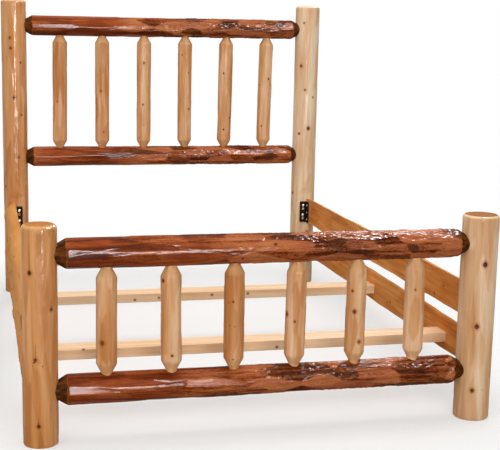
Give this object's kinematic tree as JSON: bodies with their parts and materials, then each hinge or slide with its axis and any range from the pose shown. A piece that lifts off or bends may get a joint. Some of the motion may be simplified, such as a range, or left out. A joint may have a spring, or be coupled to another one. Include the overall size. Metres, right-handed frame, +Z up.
{
  "type": "rustic log bed",
  "caption": "Log bed with round posts, tenoned cross rails and spindles at head and foot, and half-log side rails that hook on and carry cross slats.",
  "frame": {"origin": "On the floor in the middle of the bed, at the bottom centre of its box", "axes": "+X to the right seen from the foot, +Y from the foot to the head, +Z up"},
  "size_m": [1.6706, 2.3179, 1.487],
  "materials": {
    "peeled_log": "peeled cedar, golden tan, clear satin lacquer",
    "bark_log": "cedar with its inner bark left on, dark red-brown, glossy lacquer",
    "half_log": "sawn cedar face and peeled outside, clear satin lacquer",
    "slat_wood": "planed softwood, bare",
    "bracket_steel": "black painted steel",
    "screw_steel": "zinc plated"
  },
  "bodies": {
    "root": {"foot_bottom_rail": "bark_log", "foot_hook_screws_left": "screw_steel", "foot_hook_screws_right": "screw_steel", "foot_post_left": "peeled_log", "foot_post_right": "peeled_log", "foot_spindle_1": "peeled_log", "foot_spindle_2": "peeled_log", "foot_spindle_3": "peeled_log", "foot_spindle_4": "peeled_log", "foot_spindle_5": "peeled_log", "foot_spindle_6": "peeled_log", "foot_top_rail": "bark_log", "head_bottom_rail": "bark_log", "head_hook_screws_left": "screw_steel", "head_hook_screws_right": "screw_steel", "head_post_left": "peeled_log", "head_post_right": "peeled_log", "head_spindle_1": "peeled_log", "head_spindle_2": "peeled_log", "head_spindle_3": "peeled_log", "head_spindle_4": "peeled_log", "head_spindle_5": "peeled_log", "head_spindle_6": "peeled_log", "head_top_rail": "bark_log"},
    "upper_rail_left": {"upper_bracket_foot_left": "bracket_steel", "upper_bracket_head_left": "bracket_steel", "upper_rail_screws_left": "screw_steel", "upper_side_rail_left": "half_log"},
    "upper_rail_right": {"upper_bracket_foot_right": "bracket_steel", "upper_bracket_head_right": "bracket_steel", "upper_rail_screws_right": "screw_steel", "upper_side_rail_right": "half_log"},
    "slat_deck": {"lower_bracket_foot_left": "bracket_steel", "lower_bracket_foot_right": "bracket_steel", "lower_bracket_head_left": "bracket_steel", "lower_bracket_head_right": "bracket_steel", "lower_rail_screws_left": "screw_steel", "lower_rail_screws_right": "screw_steel", "lower_side_rail_left": "half_log", "lower_side_rail_right": "half_log", "slat_1": "slat_wood", "slat_2": "slat_wood", "slat_3": "slat_wood"}
  },
  "joints": [
    {"name": "upper_rail_left_lift", "type": "slide", "parent": "root", "child": "upper_rail_left", "axis": [0, 0, 1], "range_m": [0, 0.02]},
    {"name": "upper_rail_right_lift", "type": "slide", "parent": "root", "child": "upper_rail_right", "axis": [0, 0, 1], "range_m": [0, 0.02]},
    {"name": "slat_deck_lift", "type": "slide", "parent": "root", "child": "slat_deck", "axis": [0, 0, 1], "range_m": [0, 0.02]}
  ]
}
